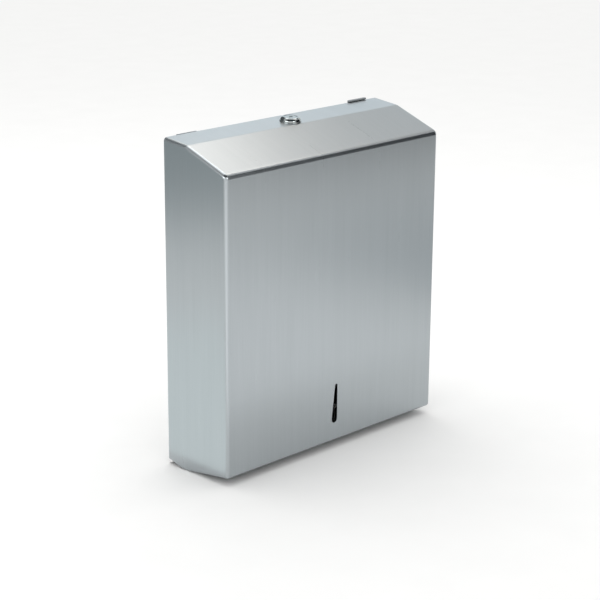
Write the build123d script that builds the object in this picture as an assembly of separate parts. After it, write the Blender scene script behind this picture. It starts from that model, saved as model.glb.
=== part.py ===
from build123d import *
import os
from math import atan2, cos, degrees, sin

# Wall-mounted folded-towel dispenser. Millimetres, X to the right, +Y into the wall, +Z up.
# Shapes are drawn above the hood's heel and moved at the end, so that the origin lies
# in the wall plane at the centre of the four wall screws.

# Hood outline, seen from the side
WIDTH = 285.0
DEPTH = 85.0
HEIGHT = 320.5
FRONT_LIP_RISE = 8.5
FRONT_TOP_DROP = 22.0
TOP_DROP = 3.0
TOP_LENGTH = 30.0
HEEL_SETBACK = 28.0
REAR_CORNER_RISE = 6.0
WALL_GAP = 2.0
HOOD_SHEET = 0.8
HOOD_BEND = 3.5
FRONT_BEND = 5.5
TOP_BEND = 6.0
FRONT_FLANGE = 16.0
SIDE_FLANGE = 10.0

# Level slot in the front
SLOT_RISE = 19.0
SLOT_LENGTH = 40.0
SLOT_LOW_WIDTH = 7.6
SLOT_HIGH_WIDTH = 3.4

# Wall plate and wall screws
PLATE_SHEET = 1.0
PLATE_BEND = 2.0
PLATE_TOP_DROP = 8.5
PLATE_FLANGE = 25.0
PLATE_INSET = 1.0
SIDE_GAP = 2.0
SCREW_HOLE = 6.0
SCREW_SIDE_INSET = 49.7
SCREW_LOW_RISE = 60.0
SCREW_TOP_DROP = 52.0
TAB_WIDTH = 24.8
TAB_INSET = 16.4
TAB_RISE = 0.2
TAB_CORNER = 1.0

# Buffer on the right-hand tab
BUFFER_LIFT = 0.35
BUFFER_HEIGHT = 1.6
BUFFER_REACH = 2.8
BUFFER_EDGE = 0.4
BUFFER_END = 0.75
BUFFER_TAB_RISE = 1.2

# Hinge
HINGE_SETBACK = 20.0
HINGE_RISE = 10.0
STUD_RADIUS = 3.0
STUD_FIT = 0.05
STUD_BASE_RADIUS = 4.5
STUD_BASE = 0.7
STUD_TAIL = 1.2
STUD_GROOVE = 0.5
BUSH_WALL = 1.3
BUSH_FLANGE = 1.0
BUSH_FLANGE_RADIUS = 6.5
BUSH_PROUD = 0.3
CLIP_SHEET = 0.8
CLIP_RADIUS = 5.5
CLIP_MOUTH = 4.2
CLIP_GAP = 0.3
CLIP_PLAY = 0.05

# Hinge ears and opening stop
EAR_SHEET = 1.5
EAR_FRONT = 38.0
EAR_REAR = 8.0
EAR_BOTTOM = 4.5
EAR_TOP = 41.0
EAR_STEP = 28.0
EAR_CORNER = 4.0
OPEN_ANGLE = 75.0
STOP_ARM = 12.0
STOP_REST_ANGLE = 90.0
STOP_LEAD_ANGLE = 2.0
STOP_RADIUS = 2.0
STOP_BASE_RADIUS = 3.5
STOP_PLAY = 0.4
STOP_PROUD = 1.0
RIVET_RADIUS = 1.6
RIVET_HEAD_RADIUS = 3.0
RIVET_HEAD = 1.2
RIVET_TAIL_RADIUS = 2.4
RIVET_TAIL = 0.6
RIVET_EDGE = 0.5
RIVET_RISE = 34.5
RIVET_PITCH = 9.0

# Towel shelf
SHELF_SHEET = 1.0
SHELF_RISE = 19.0
SHELF_REACH = 31.0
SHELF_FOOT = 11.0
SHELF_LIP = 6.0
SHELF_BEND = 2.0
SHELF_END_GAP = 5.6
SHELF_STUD_INSET = 29.0

# Towel guides
GUIDE_SHEET = 1.0
GUIDE_INSET = 13.7
GUIDE_FOOT = 11.0
GUIDE_REACH = 60.0
GUIDE_FLARE = 4.0
GUIDE_BOTTOM = 46.0
GUIDE_TOP_DROP = 42.0
GUIDE_BEND = 1.5
GUIDE_STUD_INSET = 22.0

# Welded studs and nuts
BOLT_RADIUS = 1.5
BOLT_LENGTH = 8.0
BOLT_HOLE_PLAY = 0.25
NUT_FLAT = 5.5
NUT_HEIGHT = 3.0
NUT_FLANGE_RADIUS = 4.0
NUT_FLANGE = 0.8

# Lock
LOCK_SETBACK = 21.5
LOCK_RIM_RADIUS = 10.6
LOCK_RIM = 1.0
LOCK_RIM_EDGE = 0.4
LOCK_HEAD_RADIUS = 10.0
LOCK_FACE_RADIUS = 7.7
LOCK_HEAD = 4.6
LOCK_HEAD_BULGE = 0.6
LOCK_BODY_RADIUS = 8.0
LOCK_BODY_FLAT = 14.0
LOCK_BODY = 18.0
LOCK_HOLE_PLAY = 0.1
PLUG_RADIUS = 5.5
PLUG_FIT = 0.05
PLUG_FACE_RADIUS = 6.4
PLUG_FACE = 1.6
PLUG_FACE_EDGE = 0.3
PLUG_SINK = 0.2
PLUG_FLOAT = 0.1
KEY_LENGTH = 5.0
KEY_WIDTH = 1.6
KEY_CENTRE_RADIUS = 1.2
KEY_DEPTH = 9.0
TAIL_FLAT = 7.0
TAIL_PLAY = 0.1
NUT_SPAN = 19.0
LOCK_NUT = 4.0
LOCK_WASHER = 0.8
LOCK_WASHER_RADIUS = 9.6
WASHER_TOOTH = 0.9
WASHER_TEETH = 12

# Hooked cam and its screw
CAM_SHEET = 2.5
CAM_GAP = 0.3
CAM_HUB_RADIUS = 6.5
CAM_ARM = 5.0
HOOK_RADIUS = 13.4
HOOK_WIDTH = 4.0
HOOK_START_ANGLE = -60.0
HOOK_SWEEP_ANGLE = 76.0
CAM_WASHER = 0.8
CAM_WASHER_RADIUS = 4.5
CAM_WASHER_PLAY = 0.15
CAM_SCREW_RADIUS = 1.6
CAM_SCREW_LENGTH = 7.0
CAM_SCREW_HEAD_RADIUS = 3.8
CAM_SCREW_HEAD = 2.4
CAM_SCREW_EDGE = 0.6
DRIVE_LENGTH = 4.4
DRIVE_WIDTH = 1.0
DRIVE_DEPTH = 1.2

# Strike bracket
STRIKE_SHEET = 1.2
STRIKE_BEND = 1.5
STRIKE_TAB_GAP = 8.8
STRIKE_TAB_HALF = 3.0
STRIKE_TAB_OVER = 3.0
STRIKE_UNDER = 2.6
STRIKE_HALF = 20.0
STRIKE_FOOT = 24.0
STRIKE_STUD_PITCH = 26.0
STRIKE_STUD_DROP = 15.0

# How far cuts run past the metal
OVERRUN = 5.0

# Places that follow from the sizes
HALF = WIDTH / 2
HOOD_INSIDE = HALF - HOOD_SHEET
PLATE_HALF = HOOD_INSIDE - SIDE_GAP
EAR_OUTSIDE = PLATE_HALF - PLATE_SHEET
EAR_INSIDE = EAR_OUTSIDE - EAR_SHEET
FRONT_TOP = HEIGHT - FRONT_TOP_DROP
BEND_TOP = HEIGHT - TOP_DROP
PLATE_TOP = HEIGHT - PLATE_TOP_DROP
SCREW_X = PLATE_HALF - SCREW_SIDE_INSET
SCREW_HIGH_RISE = PLATE_TOP - SCREW_TOP_DROP
SCREW_CENTRE_RISE = (SCREW_LOW_RISE + SCREW_HIGH_RISE) / 2
TAB_OUTSIDE = HALF - TAB_INSET
TAB_INSIDE = TAB_OUTSIDE - TAB_WIDTH
BUSH_RADIUS = STUD_RADIUS + STUD_FIT + BUSH_WALL
BUSH_END = EAR_INSIDE - BUSH_PROUD
CLIP_OUTSIDE = BUSH_END - CLIP_GAP
CLIP_INSIDE = CLIP_OUTSIDE - CLIP_SHEET
STUD_END = CLIP_INSIDE - STUD_TAIL
SHELF_HALF_LENGTH = STUD_END - SHELF_END_GAP
SHELF_BOLT_X = SHELF_HALF_LENGTH - SHELF_STUD_INSET
SHELF_BOLT_RISE = SHELF_RISE - (SHELF_SHEET + SHELF_FOOT) / 2
GUIDE_INSIDE = EAR_OUTSIDE - GUIDE_INSET
GUIDE_BOLT_X = GUIDE_INSIDE + GUIDE_SHEET + GUIDE_FOOT / 2
GUIDE_TOP = PLATE_TOP - GUIDE_TOP_DROP
PLUG_FACE_BASE = LOCK_HEAD - PLUG_SINK - PLUG_FACE
CAM_TOP = LOCK_BODY + CAM_GAP
CAM_BOTTOM = CAM_TOP + CAM_SHEET

# The lock stands square on the rear top, which rises a little towards the wall
TOP_TILT = atan2(TOP_DROP, TOP_LENGTH)
LOCK_RISE = HEIGHT - TOP_DROP * (LOCK_SETBACK - WALL_GAP) / TOP_LENGTH
LOCK_PLACE = Pos(0, -LOCK_SETBACK, LOCK_RISE) * Rot(degrees(TOP_TILT), 0, 0)
STRIKE_TAB_FRONT = CAM_BOTTOM * sin(TOP_TILT) - LOCK_SETBACK + STRIKE_TAB_GAP
STRIKE_ARM_TOP = LOCK_RISE - CAM_BOTTOM * cos(TOP_TILT) - STRIKE_UNDER
STRIKE_TAB_TOP = LOCK_RISE - CAM_TOP * cos(TOP_TILT) + STRIKE_TAB_OVER


def block(x0, x1, y0, y1, z0, z1):
    """A box between two corners."""
    return Pos((x0 + x1) / 2, (y0 + y1) / 2, (z0 + z1) / 2) * Box(x1 - x0, y1 - y0, z1 - z0)


def rod_x(radius, x0, x1, y, z):
    """A round bar along X."""
    return Pos((x0 + x1) / 2, y, z) * Rot(0, 90, 0) * Cylinder(radius, abs(x1 - x0))


def rod_y(radius, y0, y1, x, z):
    """A round bar along Y."""
    return Pos(x, (y0 + y1) / 2, z) * Rot(90, 0, 0) * Cylinder(radius, abs(y1 - y0))


def rod_z(radius, z0, z1):
    """A round bar on the Z axis."""
    return Pos(0, 0, (z0 + z1) / 2) * Cylinder(radius, abs(z1 - z0))


def side_prism(points, x0, x1):
    """An outline of (y, z) points carried along X."""
    outline = make_face(Polyline(*[(x0, y, z) for y, z in points], close=True))
    return extrude(outline, amount=x1 - x0, dir=(1, 0, 0))


def bent_section(points, sheet, bend):
    """The section of a bent sheet that lies to the left of its path."""
    path = FilletPolyline(*points, radius=bend)
    return make_face(offset(path, amount=sheet, side=Side.LEFT, closed=True))


def along_x(section, half):
    """A section drawn in (y, z), carried to both sides of the middle."""
    return extrude(Plane.YZ * section, amount=half, both=True)


def to_left(shape):
    """The same piece on the left-hand side."""
    return mirror(shape, about=Plane.YZ)


def below_clip(margin):
    """Everything below the clipped lower rear corner, raised by a margin."""
    slope = REAR_CORNER_RISE / (HEEL_SETBACK - WALL_GAP)
    front = DEPTH + OVERRUN
    points = [
        (OVERRUN, slope * (HEEL_SETBACK + OVERRUN) + margin),
        (-front, margin - slope * (front - HEEL_SETBACK)),
        (-front, -HEIGHT),
        (OVERRUN, -HEIGHT),
    ]
    return side_prism(points, -WIDTH, WIDTH)


def stop_slot(x0, x1):
    """The arc slot of the opening stop, cut through at the right-hand side."""
    width = STOP_RADIUS + STOP_RADIUS + STOP_PLAY + STOP_PLAY
    sweep = OPEN_ANGLE + STOP_LEAD_ANGLE + STOP_LEAD_ANGLE
    arc = CenterArc((-HINGE_SETBACK, HINGE_RISE), STOP_ARM, STOP_REST_ANGLE - STOP_LEAD_ANGLE, sweep)
    return extrude(Plane.YZ.offset(x0) * SlotArc(arc, width), amount=x1 - x0)


def rivet_places():
    """Where the ear's rivets sit, as (y, z)."""
    middle = (PLATE_FLANGE + EAR_REAR) / 2
    return [(-middle - RIVET_PITCH / 2, RIVET_RISE), (-middle + RIVET_PITCH / 2, RIVET_RISE)]


def bolt_places():
    """Where the plate's welded studs stand, as (x, z, thickness of the piece they hold)."""
    places = [(x, SHELF_BOLT_RISE, SHELF_SHEET) for x in (-SHELF_BOLT_X, 0, SHELF_BOLT_X)]
    for x in (-GUIDE_BOLT_X, GUIDE_BOLT_X):
        places.append((x, GUIDE_BOTTOM + GUIDE_STUD_INSET, GUIDE_SHEET))
        places.append((x, GUIDE_TOP - GUIDE_STUD_INSET, GUIDE_SHEET))
    for x in (-STRIKE_STUD_PITCH / 2, STRIKE_STUD_PITCH / 2):
        places.append((x, STRIKE_ARM_TOP - STRIKE_STUD_DROP, STRIKE_SHEET))
    return places


def bolt_holes():
    """Clearance holes for the welded studs, through whatever they hold."""
    radius = BOLT_RADIUS + BOLT_HOLE_PLAY
    holes = [rod_y(radius, -PLATE_SHEET - OVERRUN, -PLATE_SHEET, x, z) for x, z, sheet in bolt_places()]
    return Part() + holes


def hood_block():
    """The hood's outside as a solid, before it is hollowed."""
    fall = FRONT_LIP_RISE / (DEPTH - HEEL_SETBACK)
    points = [
        (-DEPTH, FRONT_LIP_RISE),
        (-DEPTH, FRONT_TOP),
        (-WALL_GAP - TOP_LENGTH, BEND_TOP),
        (-WALL_GAP, HEIGHT),
        (-WALL_GAP, -fall * (HEEL_SETBACK - WALL_GAP)),
    ]
    body = side_prism(points, -HALF, HALF)
    ridge = body.edges().filter_by(Axis.X).sort_by_distance((0, -WALL_GAP - TOP_LENGTH, BEND_TOP))[0]
    body = fillet(ridge, TOP_BEND)
    brow = body.edges().filter_by(Axis.X).sort_by_distance((0, -DEPTH, FRONT_TOP))[0]
    body = fillet(brow, FRONT_BEND)
    upright = body.faces().filter_by(Axis.Y).sort_by(Axis.Y)
    rear = [e.center() for e in upright[-1].edges()]
    bends = body.faces().filter_by(Axis.X).edges() + upright[0].edges().filter_by(Axis.X).group_by(Axis.Z)[0]
    bends = [e for e in bends if all((e.center() - c).length > HOOD_SHEET for c in rear)]
    return fillet(bends, HOOD_BEND)


def level_slot():
    """The tapered slot in the front through which the stack is seen, upright on its right."""
    low = SLOT_LOW_WIDTH / 2
    high = SLOT_HIGH_WIDTH / 2
    base = FRONT_LIP_RISE + SLOT_RISE
    ends = Pos(0, base + low) * Circle(low) + Pos(low - high, base + SLOT_LENGTH - high) * Circle(high)
    outline = make_hull(ends.edges())
    return extrude(Plane.XZ.offset(DEPTH - OVERRUN) * outline, amount=OVERRUN + OVERRUN)


def lock_shank(play, z0, z1):
    """The lock's round shank with its two flats, standing on Z."""
    flat = LOCK_BODY_FLAT + play + play
    return rod_z(LOCK_BODY_RADIUS + play, z0, z1) & Box(flat, WIDTH, HEIGHT)


def front_cover():
    """The hood: folded sheet, open at the back, with return flanges below."""
    body = hood_block()
    hood = offset(body, amount=-HOOD_SHEET, openings=body.faces().sort_by(Axis.Y)[-1])
    mouth_half = HOOD_INSIDE - SIDE_FLANGE
    mouth_top = FRONT_LIP_RISE + OVERRUN
    hood -= block(-mouth_half, mouth_half, FRONT_FLANGE - DEPTH, OVERRUN, -HEIGHT, mouth_top)
    hood -= below_clip(0)
    hood -= LOCK_PLACE * lock_shank(LOCK_HOLE_PLAY, -OVERRUN, OVERRUN)
    return hood - level_slot()


def wall_plate():
    """The wall plate with side flanges, wall screw holes and two top tabs."""
    body = block(-PLATE_HALF, PLATE_HALF, -PLATE_FLANGE, 0, 0, PLATE_TOP)
    body = fillet(body.edges().filter_by(Axis.Z).group_by(Axis.Y)[-1], PLATE_BEND)
    hollow_top = PLATE_TOP + OVERRUN
    hollow = block(-EAR_OUTSIDE, EAR_OUTSIDE, -PLATE_FLANGE - OVERRUN, -PLATE_SHEET, -OVERRUN, hollow_top)
    hollow = fillet(hollow.edges().filter_by(Axis.Z).group_by(Axis.Y)[-1], PLATE_BEND - PLATE_SHEET)
    body -= hollow
    body -= below_clip(PLATE_INSET)
    body += top_tab(TAB_RISE, -1) + top_tab(BUFFER_TAB_RISE, 1)
    for x in (-SCREW_X, SCREW_X):
        for z in (SCREW_LOW_RISE, SCREW_HIGH_RISE):
            body -= rod_y(SCREW_HOLE / 2, -OVERRUN, OVERRUN, x, z)
    return body - side_holes() - to_left(side_holes())


def side_holes():
    """Hinge hole, stop slot and rivet holes of the right-hand flange and ear."""
    x0 = EAR_INSIDE - OVERRUN
    x1 = PLATE_HALF + OVERRUN
    holes = rod_x(BUSH_RADIUS, x0, x1, -HINGE_SETBACK, HINGE_RISE) + stop_slot(x0, x1)
    return holes + [rod_x(RIVET_RADIUS, x0, x1, y, z) for y, z in rivet_places()]


def top_tab(rise, side):
    """One tab of the wall plate, standing above the hood's rear edge."""
    middle = side * (TAB_INSIDE + TAB_OUTSIDE) / 2
    half = TAB_WIDTH / 2
    tab = block(middle - half, middle + half, -PLATE_SHEET, 0, PLATE_TOP - OVERRUN, HEIGHT + rise)
    return fillet(tab.edges().filter_by(Axis.Y).group_by(Axis.Z)[-1], TAB_CORNER)


def tab_buffer():
    """The soft buffer on the right-hand tab, over the hood's rear edge."""
    low = HEIGHT + BUFFER_LIFT
    body = block(TAB_INSIDE, TAB_OUTSIDE, -BUFFER_REACH, 0, low, low + BUFFER_HEIGHT)
    body = fillet(body.edges().filter_by(Axis.Y), BUFFER_END)
    body = fillet(body.faces().sort_by(Axis.Y)[0].edges(), BUFFER_EDGE)
    return body - top_tab(BUFFER_TAB_RISE, 1)


def hinge_ear():
    """The doubler plate inside the right-hand flange."""
    points = [(-EAR_FRONT, EAR_BOTTOM), (-EAR_FRONT, EAR_STEP), (-PLATE_FLANGE, EAR_TOP)]
    points += [(-EAR_REAR, EAR_TOP), (-EAR_REAR, EAR_BOTTOM)]
    body = side_prism(points, EAR_INSIDE, EAR_OUTSIDE)
    body = fillet(body.edges().filter_by(Axis.X).group_by(Axis.Y)[0], EAR_CORNER)
    return body - below_clip(PLATE_INSET) - side_holes()


def ear_rivets():
    """The ears' rivets: domed head inside, flat tail in the gap to the hood."""
    rivets = []
    for y, z in rivet_places():
        head = rod_x(RIVET_HEAD_RADIUS, EAR_INSIDE - RIVET_HEAD, EAR_INSIDE, y, z)
        head = fillet(head.edges().group_by(Axis.X)[0], RIVET_EDGE)
        tail = rod_x(RIVET_TAIL_RADIUS, PLATE_HALF, PLATE_HALF + RIVET_TAIL, y, z)
        rivets.append(head + rod_x(RIVET_RADIUS, EAR_INSIDE, PLATE_HALF, y, z) + tail)
    right = Part() + rivets
    return right + to_left(right)


def hinge_bush():
    """The flanged bush in the right-hand hinge hole."""
    y, z = -HINGE_SETBACK, HINGE_RISE
    body = rod_x(BUSH_RADIUS, BUSH_END, PLATE_HALF, y, z)
    body += rod_x(BUSH_FLANGE_RADIUS, PLATE_HALF, PLATE_HALF + BUSH_FLANGE, y, z)
    return body - rod_x(STUD_RADIUS + STUD_FIT, BUSH_END - OVERRUN, HALF, y, z)


def hinge_stud():
    """The stud welded inside the hood's right-hand wall, with a clip groove."""
    y, z = -HINGE_SETBACK, HINGE_RISE
    body = rod_x(STUD_RADIUS, STUD_END, HOOD_INSIDE, y, z)
    body = chamfer(body.edges().group_by(Axis.X)[0], STUD_GROOVE)
    body += rod_x(STUD_BASE_RADIUS, HOOD_INSIDE - STUD_BASE, HOOD_INSIDE, y, z)
    ring = rod_x(CLIP_RADIUS, CLIP_INSIDE - CLIP_PLAY, CLIP_OUTSIDE + CLIP_PLAY, y, z)
    core = rod_x(STUD_RADIUS - STUD_GROOVE, STUD_END, HOOD_INSIDE, y, z)
    return body - (ring - core)


def hinge_clip():
    """The open retaining clip in the right-hand stud's groove."""
    y, z = -HINGE_SETBACK, HINGE_RISE
    bore = STUD_RADIUS - STUD_GROOVE + CLIP_PLAY
    body = rod_x(CLIP_RADIUS, CLIP_INSIDE, CLIP_OUTSIDE, y, z) - rod_x(bore, STUD_END, HALF, y, z)
    half = CLIP_MOUTH / 2
    return body - block(STUD_END, HALF, y - half, y + half, z, z + CLIP_RADIUS + OVERRUN)


def stop_stud():
    """The stud welded inside the hood that runs in the right-hand arc slot."""
    y, z = -HINGE_SETBACK, HINGE_RISE + STOP_ARM
    body = rod_x(STOP_RADIUS, EAR_INSIDE - STOP_PROUD, HOOD_INSIDE, y, z)
    return body + rod_x(STOP_BASE_RADIUS, HOOD_INSIDE - STUD_BASE, HOOD_INSIDE, y, z)


def towel_shelf():
    """The rear towel ledge: foot on the plate, ledge, turned-down front edge."""
    points = [(-PLATE_SHEET, SHELF_RISE - SHELF_FOOT), (-PLATE_SHEET, SHELF_RISE)]
    points += [(-SHELF_REACH, SHELF_RISE), (-SHELF_REACH, SHELF_RISE - SHELF_LIP)]
    return along_x(bent_section(points, SHELF_SHEET, SHELF_BEND), SHELF_HALF_LENGTH) - bolt_holes()


def towel_guide():
    """The right-hand angle strip beside the towel stack, flared at its front edge."""
    outside = GUIDE_INSIDE + GUIDE_SHEET + GUIDE_FOOT
    points = [(outside, -PLATE_SHEET), (GUIDE_INSIDE, -PLATE_SHEET), (GUIDE_INSIDE, -GUIDE_REACH)]
    points.append((GUIDE_INSIDE + GUIDE_FLARE, -GUIDE_REACH - GUIDE_FLARE))
    section = bent_section(points, GUIDE_SHEET, GUIDE_BEND)
    body = extrude(Plane.XY.offset(GUIDE_BOTTOM) * section, amount=GUIDE_TOP - GUIDE_BOTTOM)
    return body - bolt_holes()


def strike_bracket():
    """The bracket whose upturned tab the hooked cam catches behind."""
    rear = STRIKE_TAB_FRONT + STRIKE_SHEET
    points = [(-PLATE_SHEET, STRIKE_ARM_TOP - STRIKE_FOOT), (-PLATE_SHEET, STRIKE_ARM_TOP)]
    points += [(rear, STRIKE_ARM_TOP), (rear, STRIKE_TAB_TOP)]
    body = along_x(bent_section(points, STRIKE_SHEET, STRIKE_BEND), STRIKE_HALF)
    low = STRIKE_ARM_TOP - STRIKE_SHEET
    for side in (-1, 1):
        x0, x1 = sorted((side * STRIKE_TAB_HALF, side * (STRIKE_HALF + OVERRUN)))
        body -= block(x0, x1, STRIKE_TAB_FRONT - OVERRUN, rear + STRIKE_BEND, low - OVERRUN, HEIGHT)
    return body - bolt_holes()


def plate_studs():
    """The studs welded to the wall plate's front face."""
    tip = -PLATE_SHEET - BOLT_LENGTH
    studs = [rod_y(BOLT_RADIUS, tip, -PLATE_SHEET, x, z) for x, z, sheet in bolt_places()]
    return Part() + studs


def flange_nuts():
    """A flanged hex nut on each welded stud."""
    hexagon = extrude(RegularPolygon(NUT_FLAT / 2, 6, major_radius=False), NUT_HEIGHT)
    nut = hexagon + rod_z(NUT_FLANGE_RADIUS, 0, NUT_FLANGE)
    nut -= rod_z(BOLT_RADIUS, -OVERRUN, NUT_HEIGHT + OVERRUN)
    nuts = [Pos(x, -PLATE_SHEET - sheet, z) * Rot(90, 0, 0) * nut for x, z, sheet in bolt_places()]
    return Part() + nuts


def lock_housing():
    """The lock's chrome head, rounded above a rim, and its threaded body with its bore."""
    rim = rod_z(LOCK_RIM_RADIUS, 0, LOCK_RIM)
    rim = fillet(rim.edges().group_by(Axis.Z)[-1], LOCK_RIM_EDGE)
    foot = (LOCK_HEAD_RADIUS, LOCK_RIM)
    brink = (LOCK_FACE_RADIUS, LOCK_HEAD)
    outline = SagittaArc(brink, foot, LOCK_HEAD_BULGE) + Polyline(brink, (0, LOCK_HEAD), (0, LOCK_RIM), foot)
    head = revolve(Plane.XZ * make_face(outline), Axis.Z)
    body = rim + head + lock_shank(0, -LOCK_BODY, 0)
    body -= rod_z(PLUG_RADIUS + PLUG_FIT, -LOCK_BODY - OVERRUN, LOCK_HEAD)
    body -= rod_z(PLUG_FACE_RADIUS + PLUG_FIT, PLUG_FACE_BASE - PLUG_FLOAT, LOCK_HEAD + OVERRUN)
    return LOCK_PLACE * body


def lock_washer():
    """The toothed washer under the hood's top."""
    body = rod_z(LOCK_WASHER_RADIUS, -HOOD_SHEET - LOCK_WASHER, -HOOD_SHEET)
    body -= rod_z(LOCK_BODY_RADIUS + LOCK_HOLE_PLAY, -LOCK_BODY, 0)
    inner = LOCK_WASHER_RADIUS - WASHER_TOOTH
    half = WASHER_TOOTH / 2
    notch = block(inner, LOCK_WASHER_RADIUS + OVERRUN, -half, half, -LOCK_BODY, 0)
    for k in range(WASHER_TEETH):
        body -= Rot(0, 0, k * 360 / WASHER_TEETH) * notch
    return LOCK_PLACE * body


def lock_nut():
    """The hex nut that clamps the lock in the hood's top."""
    low = -HOOD_SHEET - LOCK_WASHER - LOCK_NUT
    hexagon = extrude(RegularPolygon(NUT_SPAN / 2, 6, major_radius=False), LOCK_NUT)
    body = Pos(0, 0, low) * hexagon
    return LOCK_PLACE * (body - rod_z(LOCK_BODY_RADIUS + PLUG_FIT, -LOCK_BODY, 0))


def lock_plug():
    """The turning core: face with key slot, barrel and square tail."""
    face_top = PLUG_FACE_BASE + PLUG_FACE
    face = rod_z(PLUG_FACE_RADIUS, PLUG_FACE_BASE, face_top)
    face = fillet(face.edges().group_by(Axis.Z)[-1], PLUG_FACE_EDGE)
    body = face + rod_z(PLUG_RADIUS, -CAM_TOP, PLUG_FACE_BASE)
    half = TAIL_FLAT / 2
    body += block(-half, half, -half, half, TAIL_PLAY - CAM_BOTTOM, -CAM_TOP)
    long, wide = KEY_LENGTH / 2, KEY_WIDTH / 2
    floor = face_top - KEY_DEPTH
    body -= block(-long, long, -wide, wide, floor, face_top + OVERRUN)
    body -= rod_z(KEY_CENTRE_RADIUS, floor, face_top + OVERRUN)
    screw_top = CAM_SCREW_LENGTH + TAIL_PLAY - CAM_BOTTOM - CAM_WASHER
    return LOCK_PLACE * (body - rod_z(CAM_SCREW_RADIUS, -CAM_BOTTOM, screw_top))


def lock_cam():
    """The hooked cam, drawn in its open position."""
    arm = Rot(0, 0, HOOK_START_ANGLE) * Pos(HOOK_RADIUS / 2, 0) * Rectangle(HOOK_RADIUS, CAM_ARM)
    hook = SlotArc(CenterArc((0, 0), HOOK_RADIUS, HOOK_START_ANGLE, HOOK_SWEEP_ANGLE), HOOK_WIDTH)
    hole = TAIL_FLAT + TAIL_PLAY + TAIL_PLAY
    outline = Circle(CAM_HUB_RADIUS) + arm + hook - Rectangle(hole, hole)
    return LOCK_PLACE * Pos(0, 0, -CAM_BOTTOM) * extrude(outline, CAM_SHEET)


def cam_spring_washer():
    """The split washer between cam and screw head."""
    low = -CAM_BOTTOM - CAM_WASHER
    body = rod_z(CAM_WASHER_RADIUS, low, -CAM_BOTTOM)
    body -= rod_z(CAM_SCREW_RADIUS + CAM_WASHER_PLAY, low - OVERRUN, 0)
    half = CAM_WASHER / 2
    return LOCK_PLACE * (body - block(0, CAM_WASHER_RADIUS + OVERRUN, -half, half, low - OVERRUN, 0))


def cam_screw():
    """The cross-slotted screw that holds the cam to the core."""
    top = -CAM_BOTTOM - CAM_WASHER
    head = rod_z(CAM_SCREW_HEAD_RADIUS, top - CAM_SCREW_HEAD, top)
    head = fillet(head.edges().group_by(Axis.Z)[0], CAM_SCREW_EDGE)
    body = head + rod_z(CAM_SCREW_RADIUS, top, top + CAM_SCREW_LENGTH)
    long, wide = DRIVE_LENGTH / 2, DRIVE_WIDTH / 2
    face = top - CAM_SCREW_HEAD
    slot = block(-long, long, -wide, wide, face - OVERRUN, face + DRIVE_DEPTH)
    return LOCK_PLACE * (body - slot - Rot(0, 0, 90) * slot)


def save(name, shape):
    """Write one piece, moved so that the origin is the wall screws' centre."""
    export_step(Pos(0, 0, -SCREW_CENTRE_RISE) * shape, "parts/" + name + ".step")


os.makedirs("parts", exist_ok=True)
for make in (front_cover, wall_plate, tab_buffer, towel_shelf, strike_bracket, plate_studs, flange_nuts,
             ear_rivets, lock_housing, lock_washer, lock_nut, lock_plug, lock_cam, cam_spring_washer,
             cam_screw):
    save(make.__name__, make())
for make in (hinge_ear, hinge_bush, hinge_stud, hinge_clip, stop_stud, towel_guide):
    right = make()
    save(make.__name__ + "_right", right)
    save(make.__name__ + "_left", to_left(right))
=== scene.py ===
"""Finishes, studio and camera for a wall-mounted folded-towel dispenser."""

import bmesh
import bpy
from bpy.props import FloatProperty, FloatVectorProperty, PointerProperty
from mathutils import Matrix, Vector


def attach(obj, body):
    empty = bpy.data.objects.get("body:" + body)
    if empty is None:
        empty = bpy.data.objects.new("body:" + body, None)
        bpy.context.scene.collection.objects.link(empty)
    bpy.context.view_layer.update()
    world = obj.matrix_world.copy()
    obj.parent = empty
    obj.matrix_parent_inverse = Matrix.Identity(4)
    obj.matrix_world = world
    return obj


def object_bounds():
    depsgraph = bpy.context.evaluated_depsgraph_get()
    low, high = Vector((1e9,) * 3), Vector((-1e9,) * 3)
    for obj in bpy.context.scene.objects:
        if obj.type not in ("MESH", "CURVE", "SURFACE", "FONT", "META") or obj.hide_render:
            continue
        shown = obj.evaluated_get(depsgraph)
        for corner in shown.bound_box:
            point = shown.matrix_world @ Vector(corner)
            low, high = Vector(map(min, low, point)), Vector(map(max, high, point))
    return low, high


bl_info = {
    "name": "Towel dispenser dressing",
    "version": (1, 0, 0),
    "blender": (4, 5, 0),
    "location": "View3D > Sidebar > Dispenser",
    "description": "Finishes, studio and camera for a folded-towel dispenser",
    "category": "Object",
}

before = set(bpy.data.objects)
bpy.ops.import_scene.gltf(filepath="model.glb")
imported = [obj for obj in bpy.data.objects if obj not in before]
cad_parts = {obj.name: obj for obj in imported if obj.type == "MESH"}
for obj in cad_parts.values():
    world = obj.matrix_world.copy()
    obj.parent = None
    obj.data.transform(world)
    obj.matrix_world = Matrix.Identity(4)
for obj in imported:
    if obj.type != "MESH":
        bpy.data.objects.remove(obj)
CAD_BOX = [list(corner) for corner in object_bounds()]
MM = 0.001

# The middle of a noise's values, spread over a finish's whole range.
NOISE_LOW = 0.3
NOISE_HIGH = 0.7

# Brushed grain: fine lines, and wide faint bands under them.
SIDE_FACING = 0.7
LINE_SHIFT = 7.0
BAND_WIDTH = 11 * MM
BAND_LENGTH = 400 * MM
BAND_SHIFT = 5.0
BAND_SHARE = 0.4
LINE_DEPTH = 0.01 * MM
LINE_STRENGTH = 0.25
HOOD_ROUGH = (0.27, 0.32)
HOOD_ANISOTROPY = 0.6
GRAIN_RUN = (0.0, 0.03, 1.0)

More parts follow.
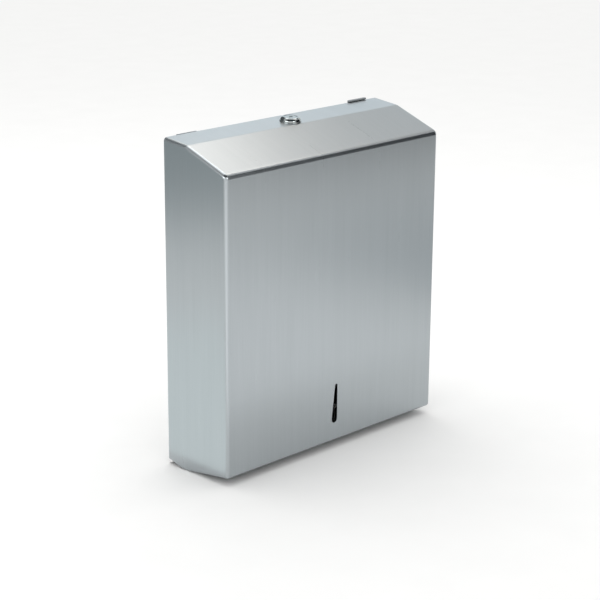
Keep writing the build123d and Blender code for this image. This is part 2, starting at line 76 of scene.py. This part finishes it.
# Each finish's cloud size and its least and greatest roughness.
MILL_CLOUD = 30 * MM
MILL_ROUGH = (0.28, 0.38)
ZINC_CLOUD = 1.2 * MM
ZINC_ROUGH = (0.3, 0.42)
CHROME_CLOUD = 3 * MM
CHROME_ROUGH = (0.05, 0.14)
NYLON_CLOUD = 4 * MM
NYLON_ROUGH = (0.42, 0.52)
NYLON_GRIT = 0.5 * MM
RUBBER_CLOUD = 3 * MM
RUBBER_ROUGH = (0.6, 0.75)
RUBBER_GRIT = 0.4 * MM
GRIT_DEPTH = 0.03 * MM
GRIT_STRENGTH = 0.3
METAL = 1.0
MOULDED = 0.0

FLOOR_MOTTLE = 60 * MM
LAMP_PLACE = (0.05, 0.35, 0.95)
LAMP_SIDE = 1.3
LAMP_WATTS = 4.0
SENSOR_WIDTH = 36.0
CLIP_NEAR = 0.01
CLIP_FAR = 200.0

# Studio cards that the steel reflects: name, place, what it faces, width, height, colour, strength.
CARDS = (
    ("flag_front_right", (0.631, -0.958, 0.46), (0.057, -0.139, 0.46), 0.54, 1.14, "#2E3135", 1.0),
    ("flag_right", (1.221, -0.545, 0.483), (0.647, 0.274, 0.483), 0.90, 1.095, "#2E3135", 1.0),
    ("flag_low_right", (0.70, -0.42, -0.155), (0.70, -0.42, 1.0), 0.5, 0.5, "#D2D6D8", 1.0),
    ("flag_above_right", (0.935, 0.30, 0.98), (0.935, 0.30, 0.0), 0.43, 1.2, "#262B2E", 1.0),
    ("flag_rear_left", (-0.23, 1.28, 0.92), (0.0, 0.0, 0.92), 2.1, 2.16, "#6A7072", 1.0),
    ("flag_low_left", (-0.76, 0.68, -0.03), (0.0, 0.0, -0.03), 1.2, 0.26, "#A8B1B3", 1.0),
    ("flag_left", (-0.98, 0.66, 0.38), (0.0, 0.0, 0.38), 0.5, 0.38, "#8A9092", 1.0),
    ("flag_left_high", (-1.03, 0.163, 1.04), (0.0, 0.0, 0.1), 0.45, 0.6, "#3A3F42", 1.0),
    ("flag_front", (-0.53, -0.76, 1.28), (0.0, 0.0, 0.1), 2.6, 1.3, "#3A3F42", 1.0),
    ("softbox_left", (-0.996, -0.087, 0.40), (0.0, 0.0, 0.16), 0.6, 0.26, "#FFFFFF", 4.5),
    ("softbox_front", (-0.09, -1.12, 0.55), (0.0, 0.0, 0.16), 0.34, 0.34, "#FFFFFF", 4.5),
    ("panel_top", (0.13, 0.38, 1.25), (0.13, 0.38, 0.0), 0.72, 0.3, "#FFFFFF", 2.9),
    ("panel_above", (0.53, 0.35, 0.96), (0.53, 0.35, 0.0), 0.38, 1.1, "#FFF7F0", 3.3),
    ("panel_rear_right", (1.06, 1.06, 0.70), (0.0, 0.0, 0.16), 1.2, 0.8, "#EAF4FA", 1.2),
    ("fill_front", (0.02, -0.53, -0.155), (0.02, -0.53, 1.0), 0.6, 0.6, "#FFFFFF", 1.12),
    ("fill_front_left", (-0.66, -0.64, -0.15), (-0.66, -0.64, 1.0), 0.82, 0.86, "#FFFFFF", 1.5),
    ("fill_left", (-0.328, 0.14, -0.155), (-0.328, 0.14, 1.0), 0.342, 0.42, "#FAFFFE", 1.19),
    # Painted shade: a black sheet on the floor under the towel mouth, seen only in reflections, standing for
    # the floor's shadow under the dispenser so that the slot reads black.
    ("painted_shade_under_mouth", (0.0, -0.042, -0.1595), (0.0, -0.042, 1.0), 0.27, 0.075, "#000000", 1.0),
)
# Stands for the wall, which keeps light from coming in under the plate; it lies in the plate's thickness.
WALL_CARD = ("flag_behind", (0.0, -0.0005, -0.1425), (0.0, -1.0, -0.1425), 0.281, 0.035, "#000000", 1.0)


def linear(code):
    """An sRGB hex colour as linear red, green and blue."""
    shares = [int(code[i : i + 2], 16) / 255 for i in (1, 3, 5)]
    return tuple(s / 12.92 if s <= 0.04045 else ((s + 0.055) / 1.055) ** 2.4 for s in shares)


class DispenserFinish(bpy.types.PropertyGroup):
    """Colours and grain of the dispenser's materials."""

    hood_light: FloatVectorProperty(
        name="Hood steel, light", description="Crests of the hood's brushed grain",
        subtype="COLOR", size=3, min=0, max=1, default=linear("#AFB5B8"),
    )
    hood_dark: FloatVectorProperty(
        name="Hood steel, dark", description="Grooves of the hood's brushed grain",
        subtype="COLOR", size=3, min=0, max=1, default=linear("#AAB0B3"),
    )
    grain_width: FloatProperty(
        name="Grain width", description="Width of one brushed line on the hood",
        subtype="DISTANCE", unit="LENGTH", min=0.0001, default=1.4 * MM,
    )
    grain_length: FloatProperty(
        name="Grain length", description="Length of one brushed line on the hood",
        subtype="DISTANCE", unit="LENGTH", min=0.001, default=90 * MM,
    )
    sheet_light: FloatVectorProperty(
        name="Inner sheet, light", description="Pale clouds of the mill-finish sheet",
        subtype="COLOR", size=3, min=0, max=1, default=linear("#CDD0D1"),
    )
    sheet_dark: FloatVectorProperty(
        name="Inner sheet, dark", description="Dark clouds of the mill-finish sheet",
        subtype="COLOR", size=3, min=0, max=1, default=linear("#C2C5C6"),
    )
    zinc_light: FloatVectorProperty(
        name="Zinc, light", description="Pale crystals of the zinc plating",
        subtype="COLOR", size=3, min=0, max=1, default=linear("#BCC2C8"),
    )
    zinc_dark: FloatVectorProperty(
        name="Zinc, dark", description="Dark crystals of the zinc plating",
        subtype="COLOR", size=3, min=0, max=1, default=linear("#A3A9AE"),
    )
    chrome_light: FloatVectorProperty(
        name="Chrome", description="Polished chrome of the lock",
        subtype="COLOR", size=3, min=0, max=1, default=linear("#A9AEAE"),
    )
    chrome_dark: FloatVectorProperty(
        name="Chrome, worn", description="Key-worn haze on the lock's chrome",
        subtype="COLOR", size=3, min=0, max=1, default=linear("#9CA2A2"),
    )
    nylon_light: FloatVectorProperty(
        name="Nylon, light", description="Body colour of the hinge bushes",
        subtype="COLOR", size=3, min=0, max=1, default=linear("#E6E3DA"),
    )
    nylon_dark: FloatVectorProperty(
        name="Nylon, dark", description="Flow marks in the hinge bushes",
        subtype="COLOR", size=3, min=0, max=1, default=linear("#D8D4C8"),
    )
    rubber_light: FloatVectorProperty(
        name="Rubber, light", description="Dusty bloom on the buffer",
        subtype="COLOR", size=3, min=0, max=1, default=linear("#8C9194"),
    )
    rubber_dark: FloatVectorProperty(
        name="Rubber, dark", description="Body colour of the buffer",
        subtype="COLOR", size=3, min=0, max=1, default=linear("#7C8184"),
    )


class DispenserStudio(bpy.types.PropertyGroup):
    """Floor, lights and camera."""

    floor_drop: FloatProperty(
        name="Floor drop", description="How far the floor lies below the wall screws' centre, hood shut",
        subtype="DISTANCE", unit="LENGTH", default=-CAD_BOX[0][2],
    )
    floor_size: FloatProperty(
        name="Floor size", description="Side of the square floor",
        subtype="DISTANCE", unit="LENGTH", default=60.0,
    )
    floor_light: FloatVectorProperty(
        name="Floor, light", description="Pale floor colour",
        subtype="COLOR", size=3, min=0, max=1, default=linear("#F7F7F6"),
    )
    floor_dark: FloatVectorProperty(
        name="Floor, dark", description="Faint mottling of the floor",
        subtype="COLOR", size=3, min=0, max=1, default=linear("#F3F3F2"),
    )
    camera_place: FloatVectorProperty(
        name="Camera place", description="Where the camera stands",
        subtype="XYZ", unit="LENGTH", size=3, default=(-1.1694, -1.2080, 0.4997),
    )
    camera_turn: FloatVectorProperty(
        name="Camera turn", description="How the camera is turned",
        subtype="EULER", unit="ROTATION", size=3, default=(1.26798, -0.00650, -0.78232),
    )
    camera_lens: FloatProperty(
        name="Lens", description="Focal length on a 36 mm sensor, in millimetres",
        min=1, default=106.03,
    )


def node(tree, kind, inputs=None, **settings):
    """Add a node, apply its settings, and set or link its inputs."""
    made = tree.nodes.new(kind)
    for name, value in settings.items():
        setattr(made, name, value)
    for name, value in (inputs or {}).items():
        if isinstance(value, bpy.types.NodeSocket):
            tree.links.new(value, made.inputs[name])
        else:
            made.inputs[name].default_value = value
    return made


def new_material(name):
    """An empty node material and its tree."""
    material = bpy.data.materials.new(name)
    material.use_nodes = True
    material.node_tree.nodes.clear()
    return material, material.node_tree


def opaque(colour):
    """A colour property with full alpha."""
    return (*colour, 1.0)


def brushed_stainless(finish):
    """Brushed stainless steel: fine upright lines that smear reflections sideways."""
    material, tree = new_material("brushed_stainless")
    place = node(tree, "ShaderNodeTexCoord")
    spot = node(tree, "ShaderNodeSeparateXYZ", {0: place.outputs["Object"]})
    facing = node(tree, "ShaderNodeSeparateXYZ", {0: place.outputs["Normal"]})
    sideways = node(tree, "ShaderNodeMath", {0: facing.outputs["X"]}, operation="ABSOLUTE")
    on_side = node(
        tree, "ShaderNodeMath", {0: sideways.outputs[0], 1: SIDE_FACING}, operation="GREATER_THAN",
    )
    across = node(
        tree, "ShaderNodeMix",
        {0: on_side.outputs[0], 2: spot.outputs["X"], 3: spot.outputs["Y"]}, data_type="FLOAT",
    )
    along = node(tree, "ShaderNodeMath", {0: spot.outputs["Z"], 1: spot.outputs["Y"]}, operation="SUBTRACT")
    strip = node(
        tree, "ShaderNodeCombineXYZ",
        {"X": across.outputs[0], "Y": along.outputs[0], "Z": on_side.outputs[0]},
    )
    # Real lines are about 0.1 mm wide; these are drawn coarser, so that they show at this distance.
    fine = node(
        tree, "ShaderNodeMapping",
        {
            "Vector": strip.outputs[0],
            "Scale": (1 / finish.grain_width, 1 / finish.grain_length, LINE_SHIFT),
        },
    )
    lines = node(
        tree, "ShaderNodeTexNoise",
        {"Vector": fine.outputs[0], "Scale": 1.0, "Detail": 3.0, "Roughness": 0.6},
    )
    wide = node(
        tree, "ShaderNodeMapping",
        {"Vector": strip.outputs[0], "Scale": (1 / BAND_WIDTH, 1 / BAND_LENGTH, BAND_SHIFT)},
    )
    bands = node(
        tree, "ShaderNodeTexNoise",
        {"Vector": wide.outputs[0], "Scale": 1.0, "Detail": 2.0, "Roughness": 0.5},
    )
    both = node(
        tree, "ShaderNodeMix",
        {0: BAND_SHARE, 2: lines.outputs["Fac"], 3: bands.outputs["Fac"]}, data_type="FLOAT",
    )
    shade = node(
        tree, "ShaderNodeMapRange",
        {"Value": both.outputs[0], "From Min": NOISE_LOW, "From Max": NOISE_HIGH},
    )
    colour = node(
        tree, "ShaderNodeMix",
        {0: shade.outputs[0], 6: opaque(finish.hood_dark), 7: opaque(finish.hood_light)}, data_type="RGBA",
    )
    gloss = node(
        tree, "ShaderNodeMapRange",
        {
            "Value": both.outputs[0], "From Min": NOISE_LOW, "From Max": NOISE_HIGH,
            "To Min": HOOD_ROUGH[1], "To Max": HOOD_ROUGH[0],
        },
    )
    ridges = node(
        tree, "ShaderNodeBump",
        {"Strength": LINE_STRENGTH, "Distance": LINE_DEPTH, "Height": lines.outputs["Fac"]},
    )
    outward = node(tree, "ShaderNodeNewGeometry")
    smear = node(
        tree, "ShaderNodeVectorMath", {0: outward.outputs["Normal"], 1: GRAIN_RUN},
        operation="CROSS_PRODUCT",
    )
    steel = node(
        tree, "ShaderNodeBsdfPrincipled",
        {
            "Base Color": colour.outputs[2], "Metallic": METAL, "Roughness": gloss.outputs[0],
            "Anisotropic": HOOD_ANISOTROPY, "Tangent": smear.outputs[0], "Normal": ridges.outputs[0],
        },
    )
    node(tree, "ShaderNodeOutputMaterial", {"Surface": steel.outputs[0]})
    return material


def clouded(name, light, dark, cloud, rough, metallic=METAL, grit=None):
    """A finish whose colour and gloss drift in soft clouds, with an optional fine grit."""
    material, tree = new_material(name)
    place = node(tree, "ShaderNodeTexCoord")
    drift = node(
        tree, "ShaderNodeTexNoise",
        {"Vector": place.outputs["Object"], "Scale": 1 / cloud, "Detail": 4.0, "Roughness": 0.6},
    )
    shade = node(
        tree, "ShaderNodeMapRange",
        {"Value": drift.outputs["Fac"], "From Min": NOISE_LOW, "From Max": NOISE_HIGH},
    )
    colour = node(
        tree, "ShaderNodeMix", {0: shade.outputs[0], 6: opaque(dark), 7: opaque(light)}, data_type="RGBA",
    )
    gloss = node(
        tree, "ShaderNodeMapRange",
        {
            "Value": drift.outputs["Fac"], "From Min": NOISE_LOW, "From Max": NOISE_HIGH,
            "To Min": rough[1], "To Max": rough[0],
        },
    )
    surface = {"Base Color": colour.outputs[2], "Metallic": metallic, "Roughness": gloss.outputs[0]}
    if grit:
        grains = node(
            tree, "ShaderNodeTexNoise",
            {"Vector": place.outputs["Object"], "Scale": 1 / grit, "Detail": 2.0},
        )
        bumps = node(
            tree, "ShaderNodeBump",
            {"Strength": GRIT_STRENGTH, "Distance": GRIT_DEPTH, "Height": grains.outputs["Fac"]},
        )
        surface["Normal"] = bumps.outputs[0]
    coat = node(tree, "ShaderNodeBsdfPrincipled", surface)
    node(tree, "ShaderNodeOutputMaterial", {"Surface": coat.outputs[0]})
    return material


def give(names, material):
    """Put a material on CAD nodes."""
    for name in names:
        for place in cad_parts[name].material_slots:
            place.material = material


class DISPENSER_OT_hood(bpy.types.Operator):
    """Brush the stainless hood"""

    bl_idname = "dispenser.hood"
    bl_label = "Hood"

    def execute(self, context):
        give(["front_cover"], brushed_stainless(context.scene.dispenser_finish))
        return {"FINISHED"}


class DISPENSER_OT_inner_sheets(bpy.types.Operator):
    """Give the wall plate and the sheet pieces on it their mill finish"""

    bl_idname = "dispenser.inner_sheets"
    bl_label = "Inner sheets"

    def execute(self, context):
        finish = context.scene.dispenser_finish
        names = ["wall_plate", "towel_shelf", "strike_bracket", "towel_guide_left", "towel_guide_right"]
        names += ["hinge_ear_left", "hinge_ear_right"]
        # Cold-rolled stainless sheet: dull and faintly cloudy.
        give(names, clouded("mill_stainless", finish.sheet_light, finish.sheet_dark, MILL_CLOUD, MILL_ROUGH))
        return {"FINISHED"}


class DISPENSER_OT_fasteners(bpy.types.Operator):
    """Zinc-plate the studs, nuts, rivets, clips and the lock's inner pieces"""

    bl_idname = "dispenser.fasteners"
    bl_label = "Fasteners"

    def execute(self, context):
        finish = context.scene.dispenser_finish
        names = ["plate_studs", "flange_nuts", "ear_rivets", "lock_nut", "lock_washer", "lock_cam"]
        names += ["cam_spring_washer", "cam_screw", "hinge_stud_left", "hinge_stud_right"]
        names += ["hinge_clip_left", "hinge_clip_right", "stop_stud_left", "stop_stud_right"]
        # Bright zinc: cool grey with a fine crystal mottle.
        give(names, clouded("zinc_plate", finish.zinc_light, finish.zinc_dark, ZINC_CLOUD, ZINC_ROUGH))
        return {"FINISHED"}


class DISPENSER_OT_lock(bpy.types.Operator):
    """Chrome the lock's housing and core"""

    bl_idname = "dispenser.lock"
    bl_label = "Lock"

    def execute(self, context):
        finish = context.scene.dispenser_finish
        # Polished chrome: near mirror, slightly hazed where keys have touched it.
        give(
            ["lock_housing", "lock_plug"],
            clouded("chrome_plate", finish.chrome_light, finish.chrome_dark, CHROME_CLOUD, CHROME_ROUGH),
        )
        return {"FINISHED"}


class DISPENSER_OT_bushes(bpy.types.Operator):
    """Colour the nylon hinge bushes"""

    bl_idname = "dispenser.bushes"
    bl_label = "Hinge bushes"

    def execute(self, context):
        finish = context.scene.dispenser_finish
        # Moulded natural nylon: waxy off-white with soft flow marks.
        give(
            ["hinge_bush_left", "hinge_bush_right"],
            clouded(
                "natural_nylon", finish.nylon_light, finish.nylon_dark,
                NYLON_CLOUD, NYLON_ROUGH, MOULDED, NYLON_GRIT,
            ),
        )
        return {"FINISHED"}


class DISPENSER_OT_buffer(bpy.types.Operator):
    """Colour the rubber buffer on the right-hand tab"""

    bl_idname = "dispenser.buffer"
    bl_label = "Buffer"

    def execute(self, context):
        finish = context.scene.dispenser_finish
        # Moulded grey rubber: dull, with a dusty bloom.
        give(
            ["tab_buffer"],
            clouded(
                "grey_rubber", finish.rubber_light, finish.rubber_dark,
                RUBBER_CLOUD, RUBBER_ROUGH, MOULDED, RUBBER_GRIT,
            ),
        )
        return {"FINISHED"}


def link_mesh(name, shape):
    """A new object at the origin from a finished bmesh."""
    mesh = bpy.data.meshes.new(name)
    shape.to_mesh(mesh)
    shape.free()
    made = bpy.data.objects.new(name, mesh)
    bpy.context.scene.collection.objects.link(made)
    return made


def card(name, place, aim, width, height, colour, strength, blocks=False):
    """A studio card that only reflections see, or one that blocks light as well."""
    shape = bmesh.new()
    bmesh.ops.create_grid(shape, x_segments=1, y_segments=1, size=0.5)
    bmesh.ops.scale(shape, vec=(width, height, 1.0), verts=shape.verts)
    turn = (Vector(aim) - Vector(place)).to_track_quat("Z", "Y").to_matrix().to_4x4()
    bmesh.ops.transform(shape, matrix=Matrix.Translation(place) @ turn, verts=shape.verts)
    made = link_mesh(name, shape)
    made.visible_camera = False
    made.visible_diffuse = blocks
    made.visible_shadow = blocks
    material, tree = new_material(name)
    glow = node(tree, "ShaderNodeEmission", {"Color": opaque(linear(colour)), "Strength": strength})
    node(tree, "ShaderNodeOutputMaterial", {"Surface": glow.outputs[0]})
    made.data.materials.append(material)


class DISPENSER_OT_stage(bpy.types.Operator):
    """Set up the pale floor, the soft light and the camera"""

    bl_idname = "dispenser.stage"
    bl_label = "Stage"

    def execute(self, context):
        studio = context.scene.dispenser_studio
        self.lay_floor(studio)
        self.light(context)
        self.aim_camera(context, studio)
        context.scene.view_settings.view_transform = "Standard"
        return {"FINISHED"}

    def lay_floor(self, studio):
        """A pale floor that reads white in the open and keeps the shadow."""
        shape = bmesh.new()
        bmesh.ops.create_grid(shape, x_segments=1, y_segments=1, size=studio.floor_size / 2)
        floor = link_mesh("floor", shape)
        # The hood's front lower edge is the lowest point at every opening,
        # so the floor keeps to its height.
        edge = bpy.data.objects.new("hood_lower_edge", None)
        edge.location = (0.0, CAD_BOX[0][1], -studio.floor_drop)
        bpy.context.scene.collection.objects.link(edge)
        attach(edge, "hood")
        level = floor.constraints.new("COPY_LOCATION")
        level.target = edge
        level.use_x = False
        level.use_y = False
        material, tree = new_material("painted_floor")
        place = node(tree, "ShaderNodeTexCoord")
        mottle = node(
            tree, "ShaderNodeTexNoise",
            {"Vector": place.outputs["Object"], "Scale": 1 / FLOOR_MOTTLE, "Detail": 3.0},
        )
        colour = node(
            tree, "ShaderNodeMix",
            {0: mottle.outputs["Fac"], 6: opaque(studio.floor_dark), 7: opaque(studio.floor_light)},
            data_type="RGBA",
        )
        paint = node(tree, "ShaderNodeBsdfDiffuse", {"Color": colour.outputs[2]})
        node(tree, "ShaderNodeOutputMaterial", {"Surface": paint.outputs[0]})
        floor.data.materials.append(material)

    def light(self, context):
        """An even white surround, one large softbox overhead, and cards for the steel to reflect."""
        world = bpy.data.worlds.new("studio")
        world.use_nodes = True
        tree = world.node_tree
        tree.nodes.clear()
        surround = node(tree, "ShaderNodeBackground", {"Color": opaque(linear("#FFFFFF")), "Strength": 1.0})
        node(tree, "ShaderNodeOutputWorld", {"Surface": surround.outputs[0]})
        context.scene.world = world

        lamp = bpy.data.lights.new("softbox", "AREA")
        lamp.shape = "RECTANGLE"
        lamp.size = LAMP_SIDE
        lamp.size_y = LAMP_SIDE
        lamp.energy = LAMP_WATTS
        lamp.color = linear("#FFFFFF")
        box = bpy.data.objects.new("softbox", lamp)
        box.location = LAMP_PLACE
        box.visible_glossy = False
        context.scene.collection.objects.link(box)

        for row in CARDS:
            card(*row)
        card(*WALL_CARD, blocks=True)

    def aim_camera(self, context, studio):
        """The photograph's view."""
        lens = bpy.data.cameras.new("camera")
        lens.sensor_width = SENSOR_WIDTH
        lens.lens = studio.camera_lens
        lens.clip_start = CLIP_NEAR
        lens.clip_end = CLIP_FAR
        camera = bpy.data.objects.new("camera", lens)
        camera.location = studio.camera_place
        camera.rotation_euler = studio.camera_turn
        context.scene.collection.objects.link(camera)
        context.scene.camera = camera


OPERATORS = (
    DISPENSER_OT_hood,
    DISPENSER_OT_inner_sheets,
    DISPENSER_OT_fasteners,
    DISPENSER_OT_lock,
    DISPENSER_OT_bushes,
    DISPENSER_OT_buffer,
    DISPENSER_OT_stage,
)


class DISPENSER_PT_panel(bpy.types.Panel):
    """The dispenser's pieces and settings"""

    bl_idname = "DISPENSER_PT_panel"
    bl_label = "Towel dispenser"
    bl_space_type = "VIEW_3D"
    bl_region_type = "UI"
    bl_category = "Dispenser"

    def draw(self, context):
        for operator in OPERATORS:
            self.layout.operator(operator.bl_idname)
        for group in (context.scene.dispenser_finish, context.scene.dispenser_studio):
            box = self.layout.box()
            for name in group.__annotations__:
                box.prop(group, name)


CLASSES = (DispenserFinish, DispenserStudio, *OPERATORS, DISPENSER_PT_panel)


def register():
    for made in CLASSES:
        bpy.utils.register_class(made)
    bpy.types.Scene.dispenser_finish = PointerProperty(type=DispenserFinish)
    bpy.types.Scene.dispenser_studio = PointerProperty(type=DispenserStudio)


def unregister():
    del bpy.types.Scene.dispenser_studio
    del bpy.types.Scene.dispenser_finish
    for made in reversed(CLASSES):
        bpy.utils.unregister_class(made)


def main():
    register()
    bpy.ops.dispenser.hood()
    bpy.ops.dispenser.inner_sheets()
    bpy.ops.dispenser.fasteners()
    bpy.ops.dispenser.lock()
    bpy.ops.dispenser.bushes()
    bpy.ops.dispenser.buffer()
    bpy.ops.dispenser.stage()


if __name__ == "__main__":
    main()
